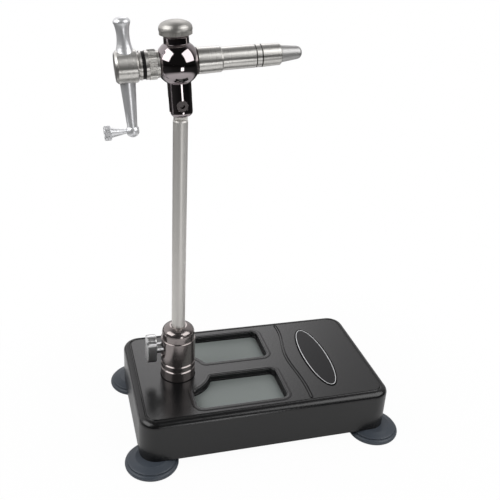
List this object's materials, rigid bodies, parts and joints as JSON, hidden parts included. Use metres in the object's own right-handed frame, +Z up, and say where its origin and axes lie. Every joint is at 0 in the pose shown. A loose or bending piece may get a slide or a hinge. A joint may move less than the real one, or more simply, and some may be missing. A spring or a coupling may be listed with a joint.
{
  "type": "rotary fly tying vise",
  "caption": "Rotary fly tying vise: hook jaws on a cranked spindle in a tilting head, on a column clamped to a weighted tray base with suction feet.",
  "frame": {"origin": "on the table, under the centre of the base", "axes": "+X along the base from the crank's side to the jaws' side, +Y across the base away from the user, +Z up"},
  "size_m": [0.2184, 0.1394, 0.3087],
  "materials": {
    "base_black": "fine matt moulded texture",
    "tray_grey": "smooth and glossy",
    "oval_black": "glossy",
    "foot_rubber": "smooth blue-grey rubber",
    "black_rubber": "matt",
    "smoked_chrome": "mirror polish, black nickel plate",
    "bright_nickel": "bright nickel plate",
    "satin_nickel": "satin turned surface, nickel plate",
    "satin_rod": "fine ground, dull",
    "jaw_steel": "hardened, smooth grey",
    "dark_steel": "blackened",
    "plain_steel": "plain turned steel",
    "bronze": "sintered bronze",
    "bush_nylon": "natural nylon"
  },
  "bodies": {
    "base": {"base_shell": "base_black", "tray_liners": "tray_grey", "oval_plate": "oval_black", "ballast_plate": "plain_steel", "bottom_cover": "base_black", "cover_screws": "plain_steel", "suction_feet": "foot_rubber", "foot_studs": "plain_steel", "column_clamp": "smoked_chrome", "clamp_nut": "plain_steel"},
    "wing_screw": {"wing_screw": "bright_nickel"},
    "bush": {"clamp_bush": "bush_nylon"},
    "column": {"column_rod": "satin_rod"},
    "head": {"head_body": "smoked_chrome", "pivot_screw": "dark_steel", "spindle_bushes": "bronze", "brake_pad": "bush_nylon"},
    "brake": {"brake_knob": "satin_nickel", "brake_stud": "plain_steel"},
    "rotor": {"spindle": "satin_nickel", "thrust_collar": "satin_nickel", "ring_collar": "satin_nickel", "o_ring": "black_rubber", "crank_hub": "satin_nickel", "hub_set_screw": "dark_steel", "crank_lever": "bright_nickel", "crank_arm": "bright_nickel", "front_collar": "satin_nickel", "nose_sleeve": "satin_nickel", "nose_cap": "satin_nickel", "jaw_pins": "plain_steel"},
    "jaw_ring": {"jaw_ring": "satin_nickel"},
    "drawbar": {"drawbar": "plain_steel", "draw_pin": "plain_steel"},
    "left_jaw": {"left_jaw": "jaw_steel"},
    "right_jaw": {"right_jaw": "jaw_steel"},
    "handle": {"crank_handle": "bright_nickel", "handle_screw": "plain_steel"}
  },
  "joints": [
    {"name": "wing_screw_turn", "type": "hinge", "parent": "base", "child": "wing_screw", "pos_m": [-0.0604, 0, 0.0673], "axis": [-1, 0, 0], "range_deg": [0, 180]},
    {"name": "column_turn", "type": "hinge", "parent": "base", "child": "bush", "pos_m": [-0.0604, 0, 0.0673], "axis": [0, 0, 1], "continuous": true},
    {"name": "column_slide", "type": "slide", "parent": "bush", "child": "column", "axis": [0, 0, 1], "range_m": [-0.012, 0.025]},
    {"name": "head_tilt", "type": "hinge", "parent": "column", "child": "head", "pos_m": [-0.0604, 0, 0.2549], "axis": [0, 1, 0], "range_deg": [-34, 35]},
    {"name": "brake_knob_turn", "type": "hinge", "parent": "head", "child": "brake", "pos_m": [-0.06253, 0, 0.28141], "axis": [-0.0802, 0, 0.9968], "range_deg": [0, 180]},
    {"name": "rotary_turn", "type": "hinge", "parent": "head", "child": "rotor", "pos_m": [-0.06253, 0, 0.28141], "axis": [0.9968, 0, 0.0802], "continuous": true},
    {"name": "jaw_ring_turn", "type": "hinge", "parent": "rotor", "child": "jaw_ring", "pos_m": [-0.06253, 0, 0.28141], "axis": [0.9968, 0, 0.0802], "range_deg": [0, 360]},
    {"name": "drawbar_slide", "type": "slide", "parent": "rotor", "child": "drawbar", "axis": [-0.9968, 0, -0.0802], "range_m": [0, 0.0024]},
    {"name": "left_jaw_open", "type": "hinge", "parent": "rotor", "child": "left_jaw", "pos_m": [-0.00342, 0.003, 0.28617], "axis": [-0.0802, 0, 0.9968], "range_deg": [0, 4]},
    {"name": "right_jaw_open", "type": "hinge", "parent": "rotor", "child": "right_jaw", "pos_m": [-0.00342, -0.003, 0.28617], "axis": [0.0802, 0, -0.9968], "range_deg": [0, 4]},
    {"name": "handle_spin", "type": "hinge", "parent": "rotor", "child": "handle", "pos_m": [-0.09159, 0, 0.23794], "axis": [0.9968, 0, 0.0802], "continuous": true}
  ],
  "couplings": [
    {"joint": "jaw_ring_turn", "follows": "drawbar_slide", "rad_per_m": 2618},
    {"joint": "left_jaw_open", "follows": "drawbar_slide", "rad_per_m": 29.088},
    {"joint": "right_jaw_open", "follows": "drawbar_slide", "rad_per_m": 29.088}
  ]
}
